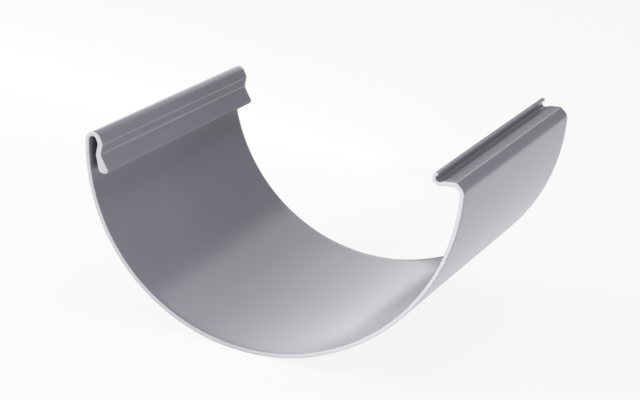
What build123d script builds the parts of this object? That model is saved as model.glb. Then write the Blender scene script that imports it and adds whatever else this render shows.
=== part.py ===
from build123d import *
from math import asin, atan2, cos, degrees, radians, sin, sqrt, tan
import os

# Gutter union: one half-round section, extruded along the gutter and cut square at both ends.
# X runs across the gutter, Y along it and Z up, with Z = 0 at the lowest line of the belly.
# The heavier bead rolls the loose part over a few degrees, and it is drawn as it then lies.

# Half-round belly
run_length = 130.0
belly_radius = 68.0
wall = 1.4

# Bead along the left rim: a narrow hook, open downwards, that grips the gutter's front edge
crown_rise = 0.45
crown_radius = 2.9
crown_thickness = 1.65
crown_lean = 24.0
bulge_drop = 1.2
bulge_radius = 1.8
waist_drop = 5.15
waist_set_back = 0.75
waist_thickness = 2.0
waist_radius = 3.0
leg_drop = 11.55
lip_reach = 2.8
lip_width = 4.15
lip_front_radius = 1.0
lip_back_radius = 1.8

# Flange along the right rim: a sloping shoulder, a level shelf and a small upturned hook
flange_reach = 11.2
shelf_rise = 0.4
shelf_thickness = 1.6
shoulder_drop = 2.8
shoulder_land = 2.0
shoulder_radius = 3.5
crease_radius = 1.2
crease_inner_radius = 0.8
step_start = 1.9
step_end = 0.6
step_radius = 0.7
hook_thickness = 1.15
hook_bore_radius = 1.2
tip_length = 1.75
tip_slant = 1.0
tip_thickness = 1.45
tip_lean = 32.0
tip_radius = 0.5

# Bevel that takes the sharp edges off both cut ends
end_bevel = 0.3

# Where the wall leaves the half circle for the shoulder, as an angle below the rim line
shoulder_z = shelf_rise - shoulder_drop
leave_angle = asin((shoulder_land - shoulder_z) / belly_radius)


def between(outer, inner):
    """Face between two curves that run the same way, closed by straight ends."""
    return make_face([outer, Line(outer @ 1, inner @ 1), inner, Line(inner @ 0, outer @ 0)])


def belly():
    """Half ring about the section's origin, open upwards, from the left rim to the shoulder."""
    sweep = 180 - degrees(leave_angle)
    return between(
        CenterArc((0, 0), belly_radius, 180, sweep),
        CenterArc((0, 0), belly_radius - wall, 180, sweep),
    )


def bead():
    """Left wall turned over a sloping crown into a waisted leg that ends in a thick lip."""
    slot_radius = crown_radius - crown_thickness
    crown_x = crown_radius - belly_radius
    slot_x = slot_radius + wall - belly_radius
    outer = CenterArc((crown_x, crown_rise), crown_radius, crown_lean, 180 - crown_lean)
    inner = CenterArc((slot_x, crown_rise), slot_radius, crown_lean, 180 - crown_lean)
    bulge_z = crown_rise - bulge_drop
    waist_z = crown_rise - waist_drop
    lip_z = crown_rise - leg_drop
    slope = tan(radians(crown_lean))
    front_x = (outer @ 0).X + slope * ((outer @ 0).Y - bulge_z)
    back_x = (inner @ 0).X + slope * ((inner @ 0).Y - bulge_z)

    rim = Pos(-belly_radius, 0) * Rectangle(wall, crown_rise, align=Align.MIN)
    leg = make_face(FilletPolyline(
        outer @ 0,
        (front_x, bulge_z),
        (front_x - waist_set_back, waist_z),
        (front_x + lip_reach, lip_z),
        (front_x + lip_reach - lip_width, lip_z),
        (front_x - waist_set_back - waist_thickness, waist_z),
        (back_x, bulge_z),
        inner @ 0,
        close=True,
        radius=[0, bulge_radius, waist_radius, lip_front_radius, lip_back_radius,
                waist_radius, bulge_radius, 0],
    ))
    return [rim, between(outer, inner), leg]


def shelf():
    """Right wall bent inwards over a shoulder at 45 degrees to the level shelf."""
    lean = tan(leave_angle)
    outer_foot = Vector(cos(leave_angle), -sin(leave_angle)) * belly_radius
    inner_foot = Vector(cos(leave_angle), -sin(leave_angle)) * (belly_radius - wall)
    outer_slope = outer_foot.X + lean * shoulder_land + shoulder_z
    inner_slope = outer_slope - wall * sqrt(2)
    inner_z = (inner_slope - inner_foot.X + lean * inner_foot.Y) / (1 + lean)
    low = shelf_rise - shelf_thickness
    return make_face(FilletPolyline(
        outer_foot,
        (outer_slope - shoulder_z, shoulder_z),
        (outer_slope - shelf_rise, shelf_rise),
        (hook_x() + step_start, shelf_rise),
        (hook_x() + step_end, low + hook_thickness),
        (hook_x(), low + hook_thickness),
        (hook_x(), low),
        (inner_slope - low, low),
        (inner_slope - inner_z, inner_z),
        inner_foot,
        close=True,
        radius=[0, shoulder_radius, crease_radius, step_radius, step_radius, 0, 0,
                crease_inner_radius, shoulder_radius - wall, 0],
    ))


def hook_x():
    """Middle line of the upturned hook, which ends flange_reach inside the belly's outer face."""
    return belly_radius - flange_reach + hook_bore_radius + hook_thickness


def hook():
    """Upturned edge of the shelf: a curl that leans back over itself and ends in a thicker, slanted tip."""
    curl_radius = hook_bore_radius + hook_thickness
    centre = (hook_x(), shelf_rise - shelf_thickness + curl_radius)
    outer = CenterArc(centre, curl_radius, 180 - tip_lean, 90 + tip_lean)
    inner = CenterArc(centre, hook_bore_radius, 180 - tip_lean, 90 + tip_lean)
    tip = make_face(FilletPolyline(
        (0, 0),
        (0, tip_length - tip_slant),
        (tip_thickness, tip_length),
        (tip_thickness, tip_thickness - hook_thickness),
        (hook_thickness, 0),
        close=True,
        radius=[0, tip_radius, tip_radius, 0, 0],
    ))
    return [between(outer, inner), Pos(outer @ 0) * Rot(0, 0, -tip_lean) * tip]


def section_at_rest():
    """Whole section, rolled about the belly's middle until its centroid is lowest, on Z = 0."""
    section = Sketch() + [belly(), *bead(), shelf(), *hook()]
    centroid = section.center(CenterOf.MASS)
    rest_roll = degrees(atan2(-centroid.X, -centroid.Y))
    rolled = Rot(0, 0, rest_roll) * section
    middle_x = rolled.bounding_box().center().X
    print("rolled at rest by", round(rest_roll, 3), "degrees, belly's middle at X", round(-middle_x, 3))
    return Pos(-middle_x, belly_radius) * rolled


def union():
    """Section extruded to both sides of Y = 0, with the edges of its two cut ends bevelled."""
    blank = extrude(Plane.XZ * section_at_rest(), run_length / 2, both=True)
    ends = blank.faces().group_by(Axis.Y)
    return chamfer(ends[0].edges() + ends[-1].edges(), end_bevel)


union_shell = union()
union_shell.label = "union_shell"
os.makedirs("parts", exist_ok=True)
export_step(union_shell, "parts/union_shell.step")
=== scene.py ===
# %% [markdown]
# A gutter union joins two lengths of half-round gutter. The real one is a single strip of grey PVC
# that was pushed hot through a shaped die and then sawn to length, so its whole form is one section
# carried along a straight line. This lesson works that section out with numpy, carries it along the
# run, and finishes it as satin plastic with the marks that a die and a saw leave.
#
# The CAD frame comes first. It says where the part is, and its box is the limit for the finished skin.

# %% Load the frame
from math import asin, cos, radians, sin, sqrt, tan

import bpy
import numpy as np
from mathutils import Matrix, Vector


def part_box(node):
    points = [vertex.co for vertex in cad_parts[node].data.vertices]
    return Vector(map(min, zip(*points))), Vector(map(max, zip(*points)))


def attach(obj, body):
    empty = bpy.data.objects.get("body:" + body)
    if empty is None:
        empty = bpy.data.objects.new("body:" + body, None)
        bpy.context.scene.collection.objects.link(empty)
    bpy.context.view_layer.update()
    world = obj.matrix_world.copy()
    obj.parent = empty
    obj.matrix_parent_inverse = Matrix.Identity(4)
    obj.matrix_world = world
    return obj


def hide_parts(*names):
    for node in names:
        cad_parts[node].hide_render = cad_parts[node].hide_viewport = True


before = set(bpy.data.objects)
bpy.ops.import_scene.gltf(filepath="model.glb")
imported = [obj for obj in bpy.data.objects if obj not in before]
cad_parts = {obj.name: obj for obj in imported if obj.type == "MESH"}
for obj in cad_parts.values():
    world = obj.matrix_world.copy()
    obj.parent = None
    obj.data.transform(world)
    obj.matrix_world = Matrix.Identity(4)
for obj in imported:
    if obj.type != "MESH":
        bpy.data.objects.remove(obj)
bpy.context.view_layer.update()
cad_low, cad_high = (Vector(corner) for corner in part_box("union_shell"))

# %% [markdown]
# The section is drawn with its rims level and the middle of the half-round belly at zero. All sizes
# are millimetres, and they are the ones that the solid was built from. The sound way to draw such a
# shape is a broken line with a radius at each corner, because a die maker gives it just like that.

# %% Sizes of the section
BELLY_RADIUS = 68.0
WALL = 1.4

CROWN_RISE = 0.45
CROWN_RADIUS = 2.9
CROWN_THICKNESS = 1.65
CROWN_LEAN = radians(24.0)
BULGE_DROP = 1.2
BULGE_RADIUS = 1.8
WAIST_DROP = 5.15
WAIST_SET_BACK = 0.75
WAIST_THICKNESS = 2.0
WAIST_RADIUS = 3.0
LEG_DROP = 11.55
LIP_REACH = 2.8
LIP_WIDTH = 4.15
LIP_FRONT_RADIUS = 1.0
LIP_BACK_RADIUS = 1.8

FLANGE_REACH = 11.2
SHELF_RISE = 0.4
SHELF_THICKNESS = 1.6
SHOULDER_DROP = 2.8
SHOULDER_LAND = 2.0
SHOULDER_RADIUS = 3.5
CREASE_RADIUS = 1.2
CREASE_INNER_RADIUS = 0.8
STEP_START = 1.9
STEP_END = 0.6
STEP_RADIUS = 0.7
HOOK_THICKNESS = 1.15
HOOK_BORE_RADIUS = 1.2
TIP_LENGTH = 1.75
TIP_SLANT = 1.0
TIP_THICKNESS = 1.45
TIP_LEAN = radians(32.0)
TIP_RADIUS = 0.5
TIP_ROOT_RADIUS = 0.4

MM = 0.001
RUN = (cad_high.y - cad_low.y) / MM
REST_ROLL = radians(7.297)
MIDDLE = Vector((-0.235 * MM, 0.0, BELLY_RADIUS * MM))
print("run", round(RUN, 3), "mm")

# %% [markdown]
# Two small tools draw every curve of the section. One gives points on an arc. The other rounds the
# corners of a broken line: it finds, for all corners at once, the circle that touches both lines.

# %% Arcs and rounded corners
def arc(centre, radius, start, end, steps):
    """Points centre + radius * (cos a, sin a), with the angle a running evenly from start to end."""
    a = np.linspace(start, end, steps)
    return np.array(centre) + radius * np.stack([np.cos(a), np.sin(a)], axis=1)


def rounded(corners, radii, steps=9):
    """Broken line with each inner corner P swapped for the arc of radius r that touches both lines.
    With unit vectors a and b from P along its lines and the half angle h between them, the centre is
    P + (a + b) / |a + b| * r / sin h, and the arc blends its end directions by their sines."""
    corners = np.array(corners, dtype=float)
    radii = np.array(radii, dtype=float)[:, None]
    here = corners[1:-1]
    a = corners[:-2] - here
    b = corners[2:] - here
    a /= np.linalg.norm(a, axis=1, keepdims=True)
    b /= np.linalg.norm(b, axis=1, keepdims=True)
    half = np.arccos(np.clip((a * b).sum(axis=1, keepdims=True), -1, 1)) / 2
    middle = (a + b) / np.linalg.norm(a + b, axis=1, keepdims=True)
    centre = here + middle * radii / np.sin(half)
    first = (here + a * radii / np.tan(half) - centre) / radii
    last = (here + b * radii / np.tan(half) - centre) / radii
    turn = np.pi - 2 * half
    s = np.linspace(0, 1, steps)
    fading, growing = np.sin((1 - s) * turn)[:, :, None], np.sin(s * turn)[:, :, None]
    blend = fading * first[:, None] + growing * last[:, None]
    arcs = centre[:, None] + radii[:, :, None] * blend / np.sin(turn)[:, :, None]
    return arcs.reshape(-1, 2)


square_corner = rounded([(0, 0), (4, 0), (4, 4)], [1.0])
print("a square corner at (4, 0) with radius 1 runs from", square_corner[0], "to", square_corner[-1])

# %% [markdown]
# The flange on the right rim rests on the gutter's rear edge. The wall leaves the half circle a little
# below the rim, turns over a shoulder at 45 degrees and runs inwards as a level shelf, which ends in
# a small upturned hook. The tip of the hook is thicker and leans back over the shelf. It is drawn in a
# frame of its own, along and across the lean, since its sizes are square to each other there.

# %% Flange
INNER_STEPS = 25
OUTER_STEPS = 33
SHOULDER_Z = SHELF_RISE - SHOULDER_DROP
LEAVE_ANGLE = asin((SHOULDER_LAND - SHOULDER_Z) / BELLY_RADIUS)


def flange():
    """Rows of (x, z) from the outer foot of the shoulder, over the shelf and round the hook, and back
    underneath to the inner foot."""
    foot = np.array([cos(LEAVE_ANGLE), -sin(LEAVE_ANGLE)])
    outer_foot, inner_foot = foot * BELLY_RADIUS, foot * (BELLY_RADIUS - WALL)
    outer_slope = outer_foot[0] + tan(LEAVE_ANGLE) * SHOULDER_LAND + SHOULDER_Z
    inner_slope = outer_slope - WALL * sqrt(2)
    inner_z = (inner_slope - inner_foot[0] + tan(LEAVE_ANGLE) * inner_foot[1]) / (1 + tan(LEAVE_ANGLE))

    curl_radius = HOOK_BORE_RADIUS + HOOK_THICKNESS
    shelf_low = SHELF_RISE - SHELF_THICKNESS
    hook = np.array([BELLY_RADIUS - FLANGE_REACH + curl_radius, shelf_low + curl_radius])
    along = np.array([sin(TIP_LEAN), cos(TIP_LEAN)])
    across = np.array([cos(TIP_LEAN), -sin(TIP_LEAN)])
    tip_root = hook - across * curl_radius
    curl_end = np.pi - TIP_LEAN

    over_shoulder = rounded(
        [outer_foot, (outer_slope - SHOULDER_Z, SHOULDER_Z), (outer_slope - SHELF_RISE, SHELF_RISE),
         (hook[0] + STEP_START, SHELF_RISE), (hook[0] + STEP_END, shelf_low + HOOK_THICKNESS),
         (hook[0], shelf_low + HOOK_THICKNESS)],
        [SHOULDER_RADIUS, CREASE_RADIUS, STEP_RADIUS, STEP_RADIUS])
    curl_in = arc(hook, HOOK_BORE_RADIUS, 1.5 * np.pi, curl_end, INNER_STEPS)
    tip = rounded(
        [tip_root + across * HOOK_THICKNESS,
         tip_root + across * TIP_THICKNESS + along * (TIP_THICKNESS - HOOK_THICKNESS),
         tip_root + across * TIP_THICKNESS + along * TIP_LENGTH,
         tip_root + along * (TIP_LENGTH - TIP_SLANT), tip_root],
        [TIP_ROOT_RADIUS, TIP_RADIUS, TIP_RADIUS])
    curl_out = arc(hook, curl_radius, curl_end, 1.5 * np.pi, OUTER_STEPS)
    under_shelf = rounded(
        [(hook[0], shelf_low), (inner_slope - shelf_low, shelf_low),
         (inner_slope - inner_z, inner_z), inner_foot],
        [CREASE_INNER_RADIUS, SHOULDER_RADIUS - WALL])
    return np.concatenate([over_shoulder, curl_in, tip, curl_out, under_shelf])


flange_path = flange()
print("flange of", len(flange_path), "points")

# %% [markdown]
# The bead on the left rim grips the gutter's front edge. The wall turns over a narrow crown, and a
# waisted leg hangs down inside it and ends in a thick rounded lip, which leaves a slot open downwards.
# Its front and back are drawn as one broken line, because they meet round the lip.

# %% Bead
def bead():
    """Rows of (x, z) from the inner left rim, round the top of the slot and the leg, and over the
    crown to the outer left rim."""
    slot_radius = CROWN_RADIUS - CROWN_THICKNESS
    crown = np.array([CROWN_RADIUS - BELLY_RADIUS, CROWN_RISE])
    slot = np.array([slot_radius + WALL - BELLY_RADIUS, CROWN_RISE])
    crown_end = np.array([cos(CROWN_LEAN), sin(CROWN_LEAN)])
    bulge_z = CROWN_RISE - BULGE_DROP
    waist_z = CROWN_RISE - WAIST_DROP
    lip_z = CROWN_RISE - LEG_DROP
    crown_foot, slot_foot = crown + crown_end * CROWN_RADIUS, slot + crown_end * slot_radius
    front_x = crown_foot[0] + tan(CROWN_LEAN) * (crown_foot[1] - bulge_z)
    back_x = slot_foot[0] + tan(CROWN_LEAN) * (slot_foot[1] - bulge_z)
    waist_x = front_x - WAIST_SET_BACK

    slot_top = arc(slot, slot_radius, np.pi, CROWN_LEAN, INNER_STEPS)
    leg = rounded(
        [slot_foot, (back_x, bulge_z), (waist_x - WAIST_THICKNESS, waist_z),
         (front_x + LIP_REACH - LIP_WIDTH, lip_z), (front_x + LIP_REACH, lip_z),
         (waist_x, waist_z), (front_x, bulge_z), crown_foot],
        [BULGE_RADIUS, WAIST_RADIUS, LIP_BACK_RADIUS, LIP_FRONT_RADIUS, WAIST_RADIUS, BULGE_RADIUS])
    crown_top = arc(crown, CROWN_RADIUS, CROWN_LEAN, np.pi, OUTER_STEPS)
    return np.concatenate([slot_top, leg, crown_top])


bead_path = bead()
print("bead of", len(bead_path), "points")

# %% [markdown]
# The outline is one closed loop. It starts at the left rim, runs round the outside of the belly to the
# right, over the flange, back along the inside of the belly and round the bead. Smooth shading bends
# over a long flat strip that ends in a curve, so the straight runs get points close to their ends.

# %% Closed outline
BELLY_STEPS = 200


def section_outline():
    """Closed outline as rows of (x, z): both faces of the belly with the flange and the bead between."""
    belly_end = 2 * np.pi - LEAVE_ANGLE
    belly_out = arc((0, 0), BELLY_RADIUS, np.pi, belly_end, BELLY_STEPS)
    belly_in = arc((0, 0), BELLY_RADIUS - WALL, belly_end, np.pi, BELLY_STEPS)
    return np.concatenate([belly_out, flange_path, belly_in, bead_path])


def even_out(loop, pitch=1.2, guard=0.12, closest=0.02):
    """Closed loop with more points on its straight runs: one guard distance inside each end of a long
    run, and others no more than pitch apart. Points closer than closest to the next one are left out."""
    ends = np.roll(loop, -1, axis=0)
    length = np.linalg.norm(ends - loop, axis=1)
    start = np.concatenate([[0], np.cumsum(length)])
    whole = start[-1]
    long_run = length > 3 * guard
    marks = np.concatenate([
        start[:-1],
        start[:-1][long_run] + guard,
        start[1:][long_run] - guard,
        np.arange(0, whole, pitch),
    ])
    marks = np.unique(np.round(marks % whole, 4))
    marks = marks[np.concatenate([np.diff(marks) > closest, [True]])]
    closed = np.concatenate([loop, loop[:1]])
    points = np.stack([np.interp(marks, start, closed[:, k]) for k in (0, 1)], axis=1)
    return points, marks, whole


outline, outline_at, outline_length = even_out(section_outline())
print("outline of", len(outline), "points,", round(outline_length, 1), "mm round")

# %% [markdown]
# The saw leaves a burr, and the burr is scraped off, so both ends have a small soft edge. A bevel tool
# could cut it, but here it costs nothing: near an end the outline shrinks inwards along its own
# normals on a quarter circle, and even places fill the run between.

# %% Places along the run
EDGE_SOFTNESS = 0.3


def run_stations(rows=41, edge_rows=7):
    """Places y along the run and, for each, how far the outline is drawn in: a quarter circle at each
    end with y = half - e (1 - sin t) and inset = e (1 - cos t), and even places between them."""
    t = np.linspace(np.pi / 2, 0, edge_rows)
    half = RUN / 2
    y_end = half - EDGE_SOFTNESS * (1 - np.sin(t))
    inset_end = EDGE_SOFTNESS * (1 - np.cos(t))
    y_mid = np.linspace(y_end[-1], -y_end[-1], rows)[1:-1]
    y = np.concatenate([y_end, y_mid, -y_end[::-1]])
    inset = np.concatenate([inset_end, 0 * y_mid, inset_end[::-1]])
    return y[::-1], inset[::-1]


run_y, run_inset = run_stations()
print(len(run_y), "places from", round(run_y[0], 1), "to", round(run_y[-1], 1), "mm")

# %% [markdown]
# The skin is the outline set down at each place along the run, joined by rows of quads and closed by
# one flat face at each end. A filled curve with a depth would give much the same form, but here every
# ring is under control, and so is the UV, which holds millimetres along the outline and along the run.
# The part lies loose, and its heavier bead rolls it over a few degrees, so the points are rolled too.

# %% Skin of the union
def outward_normals(loop):
    """Unit normals of a closed loop that runs anticlockwise: the chord between neighbours, turned."""
    chord = np.roll(loop, -1, axis=0) - np.roll(loop, 1, axis=0)
    normal = np.stack([chord[:, 1], -chord[:, 0]], axis=1)
    return normal / np.linalg.norm(normal, axis=1, keepdims=True)


def skin_points(loop, y, inset):
    """Points (row, column) in metres: the loop's column, drawn in by the row's inset, turned by the
    resting roll to (x cos r - z sin r, x sin r + z cos r) and moved to the row's y."""
    drawn = loop[None] - outward_normals(loop)[None] * inset[:, None, None]
    x = drawn[..., 0] * cos(REST_ROLL) - drawn[..., 1] * sin(REST_ROLL)
    z = drawn[..., 0] * sin(REST_ROLL) + drawn[..., 1] * cos(REST_ROLL)
    return np.stack([x * MM + MIDDLE.x, np.broadcast_to(y[:, None] * MM, x.shape), z * MM + MIDDLE.z], axis=2)


def face_corners(rows, columns):
    """Row and column of every face corner, and the corners in each face: quads between neighbouring
    rows, then the near and the far end face. The column after the last one is the first again."""
    row, column = np.meshgrid(np.arange(rows - 1), np.arange(columns), indexing="ij")
    quad_rows = np.stack([row, row, row + 1, row + 1], axis=2).ravel()
    quad_columns = np.stack([column, column + 1, column + 1, column], axis=2).ravel()
    once = np.arange(columns)
    corner_rows = np.concatenate([quad_rows, np.zeros_like(once), np.full_like(once, rows - 1)])
    corner_columns = np.concatenate([quad_columns, once[::-1], once])
    sizes = np.concatenate([np.full(row.size, 4), [columns, columns]])
    return corner_rows, corner_columns, sizes


def swept_skin(name, loop, at, whole):
    """Closed mesh of the loop carried along Y, with the UV (way round, y) in millimetres."""
    columns = len(loop)
    points = skin_points(loop, run_y, run_inset)
    row, column, sizes = face_corners(len(run_y), columns)
    way = np.concatenate([at, [whole]])

    mesh = bpy.data.meshes.new(name)
    mesh.vertices.add(len(run_y) * columns)
    mesh.vertices.foreach_set("co", points.ravel())
    mesh.loops.add(len(row))
    mesh.loops.foreach_set("vertex_index", (row * columns + column % columns).astype(np.int32))
    mesh.polygons.add(len(sizes))
    mesh.polygons.foreach_set("loop_start", np.concatenate([[0], np.cumsum(sizes)[:-1]]).astype(np.int32))
    mesh.update(calc_edges=True)
    mesh.polygons.foreach_set("use_smooth", np.ones(len(sizes), dtype=bool))
    mesh.uv_layers.new(name="way_round")
    mesh.uv_layers["way_round"].data.foreach_set("uv", np.stack([way[column], run_y[row]], axis=1).ravel())
    mesh.validate()
    skin = bpy.data.objects.new(name, mesh)
    bpy.context.scene.collection.objects.link(skin)
    print(name, "has", len(mesh.vertices), "vertices and", len(mesh.polygons), "faces")
    return skin


union_skin = swept_skin("union_skin", outline, outline_at, outline_length)
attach(union_skin, "root")
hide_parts("union_shell")

# %% [markdown]
# Materials are sums and products of masks, so a small class lets sockets be added and multiplied like
# numbers. Each operator puts one Math node into the tree. Every other node comes from one method.

# %% A socket that does sums
class Value:
    """One output socket in a node tree, with the operators that a mask needs."""

    def __init__(self, tree, socket):
        self.tree = tree
        self.socket = socket

    def math(self, operation, *others, clamp=False):
        made = self.tree.nodes.new("ShaderNodeMath")
        made.operation = operation
        made.use_clamp = clamp
        for slot, item in zip(made.inputs, (self, *others)):
            plug(self.tree, slot, item)
        return Value(self.tree, made.outputs[0])

    def __add__(self, other):
        return self.math("ADD", other)

    __radd__ = __add__

    def __sub__(self, other):
        return self.math("SUBTRACT", other)

    def __rsub__(self, other):
        return (self * -1) + other

    def __mul__(self, other):
        return self.math("MULTIPLY", other)

    __rmul__ = __mul__

    def __truediv__(self, other):
        return self.math("DIVIDE", other)

    def __pow__(self, other):
        return self.math("POWER", other)

    def clamped(self):
        return self.math("ADD", 0.0, clamp=True)


def plug(tree, slot, item):
    """Links a Value to a socket, or sets a plain number or colour on it."""
    if isinstance(item, Value):
        tree.links.new(item.socket, slot)
    else:
        slot.default_value = item


class Finish:
    """Empty node tree of a material or a world. All its nodes come from one method: type, settings,
    then what goes into the sockets. Sockets that share a name are given by their number."""

    def __init__(self, owner):
        owner.use_nodes = True
        self.tree = owner.node_tree
        self.tree.nodes.clear()

    def node(self, kind, settings=None, inputs=None, output=0):
        made = self.tree.nodes.new(kind)
        for key, value in (settings or {}).items():
            setattr(made, key, value)
        for key, value in (inputs or {}).items():
            plug(self.tree, made.inputs[key], value)
        return Value(self.tree, made.outputs[output]) if made.outputs else None


# %% [markdown]
# Extruded PVC is satin, not glossy. The die draws faint straight lines along the run, the colour is even
# but never quite flat, and the sawn ends are duller, with fine straight marks from the teeth. The ends are
# also paler: partly by the sawn PVC's own colour, and partly by painted light that stands in for the light
# falling on the end faces. A picture of scratches would do, but noise that is stretched along the run
# needs no picture and never repeats. The lines follow the surface, so they read the UV; the rest reads
# Object coordinates.

# %% Satin grey PVC
PVC_GREY = (0.335, 0.329, 0.385)
# Colour of the cut ends: partly the sawn PVC's own paleness, partly painted light for the lit end faces.
CUT_PALE_WITH_PAINTED_LIGHT = (0.690, 0.684, 0.716)
PVC_IOR = 1.53
RELIEF_DEPTH = 0.04 * MM


def satin_pvc():
    """Grey body with die lines, and a duller cut where the outline starts to be drawn in; the cut's paler
    colour is partly its own and partly painted light.
    """
    material = bpy.data.materials.new("satin_grey_pvc")
    pvc = Finish(material)
    place = pvc.node("ShaderNodeTexCoord", output="Object")
    way_round = pvc.node("ShaderNodeUVMap", {"uv_map": "way_round"})
    along = pvc.node("ShaderNodeSeparateXYZ", None, {"Vector": place}, output="Y")

    def noise(vector, scale, detail=2.0):
        return pvc.node("ShaderNodeTexNoise", None, {"Vector": vector, "Scale": scale, "Detail": detail})

    def stretched(vector, size):
        return pvc.node("ShaderNodeMapping", None, {"Vector": vector, "Scale": size})

    def shade(colour, tone):
        return pvc.node("ShaderNodeVectorMath", {"operation": "SCALE"}, {0: colour, "Scale": tone})

    die_lines = noise(stretched(way_round, (2.2, 0.006, 1.0)), 1.0, 3.0)
    broad_lines = noise(stretched(way_round, (0.16, 0.004, 1.0)), 1.0)
    clouds = noise(place, 28.0)
    grain = noise(place, 2600.0)
    teeth = noise(stretched(place, (260.0, 1.0, 2400.0)), 1.0)
    cut = ((along.math("ABSOLUTE") - (RUN / 2 - EDGE_SOFTNESS) * MM) / (EDGE_SOFTNESS * MM)).clamped() ** 2

    body = shade(PVC_GREY, 0.955 + 0.05 * clouds + 0.03 * broad_lines + 0.012 * die_lines)
    # Paler cut colour: partly its own, partly painted light standing in for the light on the end faces.
    sawn_with_painted_light = shade(CUT_PALE_WITH_PAINTED_LIGHT, 0.94 + 0.12 * teeth)
    colour = pvc.node("ShaderNodeMix", {"data_type": "RGBA"}, {0: cut, 6: body, 7: sawn_with_painted_light}, output=2)
    rough = 0.20 + 0.06 * (clouds - 0.5) + 0.05 * (die_lines - 0.5) + 0.22 * cut
    relief = (0.5 * die_lines + 0.35 * broad_lines) * (1 - cut) + 0.15 * grain + 0.6 * teeth * cut
    bump = pvc.node("ShaderNodeBump", None, {"Strength": 0.35, "Distance": RELIEF_DEPTH, "Height": relief})
    shader = pvc.node("ShaderNodeBsdfPrincipled", None, {
        "Base Color": colour, "Roughness": rough, "Normal": bump, "IOR": PVC_IOR})
    pvc.node("ShaderNodeOutputMaterial", None, {"Surface": shader})
    return material


union_skin.data.materials.append(satin_pvc())
print("finish:", union_skin.data.materials[0].name)

# %% [markdown]
# In the photograph the outside of the right wall is lit from below, as on a light table. So the floor
# glows, and more so on the right. The camera sees the floor and the world as white, with a little of
# the part's shadow. A white material under strong lamps would look the same but wash out the part.

# %% Floor and sky
FLOOR_SIZE = 8.0
LEFT_GLOW = 0.25
RIGHT_GLOW = 0.88
GLOW_STEP = 0.05
SHADOW_SHARE = 0.12
SKY_LEVEL = 0.22
WHITE = (1.0, 1.0, 1.0, 1.0)
PAPER = (0.8, 0.8, 0.8, 1.0)


def glow(finish, strength):
    """Plain white emission."""
    return finish.node("ShaderNodeEmission", None, {"Color": WHITE, "Strength": strength})


def mixed(finish, share, first, second):
    """Mix Shader: first where the share is 0, second where it is 1."""
    return finish.node("ShaderNodeMixShader", None, {0: share, 1: first, 2: second})


def light_table():
    """White to the camera, with a share of matte paper for the shadow; glowing for everything else."""
    material = bpy.data.materials.new("light_table")
    table = Finish(material)
    place = table.node("ShaderNodeTexCoord", output="Object")
    across = table.node("ShaderNodeSeparateXYZ", None, {"Vector": place}, output="X")
    lit = mixed(table, (across / GLOW_STEP).clamped(), glow(table, LEFT_GLOW), glow(table, RIGHT_GLOW))
    matte = table.node("ShaderNodeBsdfDiffuse", None, {"Color": PAPER})
    shown = mixed(table, SHADOW_SHARE, glow(table, 1.0), matte)
    seen = table.node("ShaderNodeLightPath", output="Is Camera Ray")
    table.node("ShaderNodeOutputMaterial", None, {"Surface": mixed(table, seen, lit, shown)})
    return material


def flat_sheet(name, corners, material):
    """One four-cornered sheet of the stage."""
    mesh = bpy.data.meshes.new(name)
    mesh.from_pydata(corners, [], [(0, 1, 2, 3)])
    mesh.materials.append(material)
    sheet = bpy.data.objects.new(name, mesh)
    bpy.context.scene.collection.objects.link(sheet)
    return sheet


reach = FLOOR_SIZE / 2
floor_corners = [(-reach, -reach, 0), (reach, -reach, 0), (reach, reach, 0), (-reach, reach, 0)]
floor = flat_sheet("floor", floor_corners, light_table())

world = bpy.data.worlds.new("sky")
bpy.context.scene.world = world
sky = Finish(world)
level = sky.node("ShaderNodeLightPath", output="Is Camera Ray") * (1 - SKY_LEVEL) + SKY_LEVEL
light = sky.node("ShaderNodeBackground", None, {"Color": WHITE, "Strength": level})
sky.node("ShaderNodeOutputWorld", None, {"Surface": light})
print(floor.name, "is", FLOOR_SIZE, "m wide under", world.name)

# %% [markdown]
# The bright right half of the trough is mostly a reflection, seen at a grazing angle, as a studio makes
# it with a white card just behind the part. The card fades out towards its top edge, so that its
# reflection has a soft border. The small hook hides the card from the shelf, which is why the shelf is
# dark there. The camera doesn't see the card, and the card throws no shadow.

# %% White card
CARD_LEFT = -0.8
CARD_RIGHT = -0.035
CARD_Y = 0.2
CARD_HEIGHT = 0.25
CARD_FADE = 0.09
CARD_GLOW = 1.5


def glowing_card():
    """White glow, even up to CARD_FADE above the floor and gone at the card's top edge."""
    material = bpy.data.materials.new("glowing_card")
    paper = Finish(material)
    place = paper.node("ShaderNodeTexCoord", output="Object")
    height = paper.node("ShaderNodeSeparateXYZ", None, {"Vector": place}, output="Z")
    fade = ((height - CARD_FADE) / (CARD_HEIGHT - CARD_FADE)).clamped()
    surface = mixed(paper, fade, glow(paper, CARD_GLOW), glow(paper, 0.0))
    paper.node("ShaderNodeOutputMaterial", None, {"Surface": surface})
    return material


card_corners = [(CARD_LEFT, CARD_Y, 0), (CARD_RIGHT, CARD_Y, 0),
                (CARD_RIGHT, CARD_Y, CARD_HEIGHT), (CARD_LEFT, CARD_Y, CARD_HEIGHT)]
card = flat_sheet("card", card_corners, glowing_card())
card.visible_camera = False
card.visible_shadow = False
print(card.name, "is", CARD_HEIGHT, "m high")

# %% [markdown]
# Soft boxes give the form. A low one on the left shines over the bead rim and in through the open near
# end, so it reaches the right side of the trough and leaves the left wall dark. A box overhead fills
# the trough, and a strip on the right lights the waisted leg of the bead. The weak ones in front and
# behind are for the cut and for the bright line along the crease of the flange. One big lamp would be
# simpler, but it would light the shelf and the trough alike.

# %% Lamps
LAMP_TARGET = Vector((0, 0, 0.05))


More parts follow.
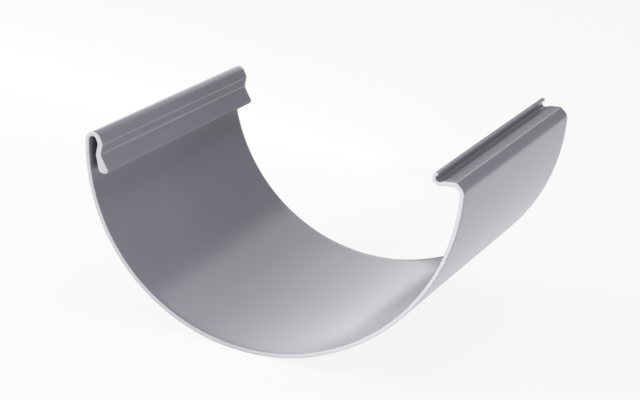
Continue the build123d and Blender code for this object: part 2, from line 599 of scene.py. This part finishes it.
def soft_box(name, place, size, power):
    """Area lamp of the given width and height that faces the part, with its width kept level."""
    lamp = bpy.data.lights.new(name, "AREA")
    lamp.shape = "RECTANGLE"
    lamp.size, lamp.size_y = size
    lamp.energy = power
    box = bpy.data.objects.new(name, lamp)
    turn = (Vector(place) - LAMP_TARGET).to_track_quat("Z", "Y").to_matrix().to_4x4()
    box.matrix_world = Matrix.Translation(place) @ turn
    bpy.context.scene.collection.objects.link(box)
    print(name, "gives", power, "W")


soft_box("left_box", (-0.9, -0.8, 0.58), (0.9, 0.4), 13.0)
soft_box("top_box", (0.0, 0.0, 1.2), (0.6, 0.6), 3.0)
soft_box("right_strip", (0.7, -0.6, 0.1), (0.5, 0.15), 2.2)
soft_box("front_box", (-0.3, -1.3, 0.35), (0.6, 0.5), 1.6)
soft_box("back_box", (-0.1, 1.2, 0.6), (0.5, 0.4), 0.6)

# %% [markdown]
# The camera repeats the photograph's view with a long lens. It was fitted with the rims level, so it
# is first set up against that pose and then rolled with the part to its resting angle about the
# belly's axis. The part then shows just as it did, and the tilt needs no second fit.

# %% Camera
LENS = 135.4
SENSOR_WIDTH = 36.0
CLIP_START = 0.05
AZIMUTH = radians(20.56)
ELEVATION = radians(13.87)
DISTANCE = 12.794 * BELLY_RADIUS * MM
AIM = Vector((-0.0957, 0.0, -0.4210)) * BELLY_RADIUS * MM
PHOTO_ROLL = radians(1.79)

back = Vector((sin(AZIMUTH) * cos(ELEVATION), -cos(AZIMUTH) * cos(ELEVATION), sin(ELEVATION)))
level_view = Matrix.Translation(AIM + back * DISTANCE) @ back.to_track_quat("Z", "Y").to_matrix().to_4x4()
roll = Matrix.Rotation(-(REST_ROLL + PHOTO_ROLL), 4, "Y")
camera = bpy.data.objects.new("photo_camera", bpy.data.cameras.new("photo_camera"))
camera.data.sensor_width = SENSOR_WIDTH
camera.data.lens = LENS
camera.data.clip_start = CLIP_START
camera.matrix_world = Matrix.Translation(MIDDLE) @ roll @ level_view
bpy.context.scene.collection.objects.link(camera)
bpy.context.scene.camera = camera
bpy.context.scene.view_settings.view_transform = "Standard"
print("camera at", [round(v, 4) for v in camera.matrix_world.translation])
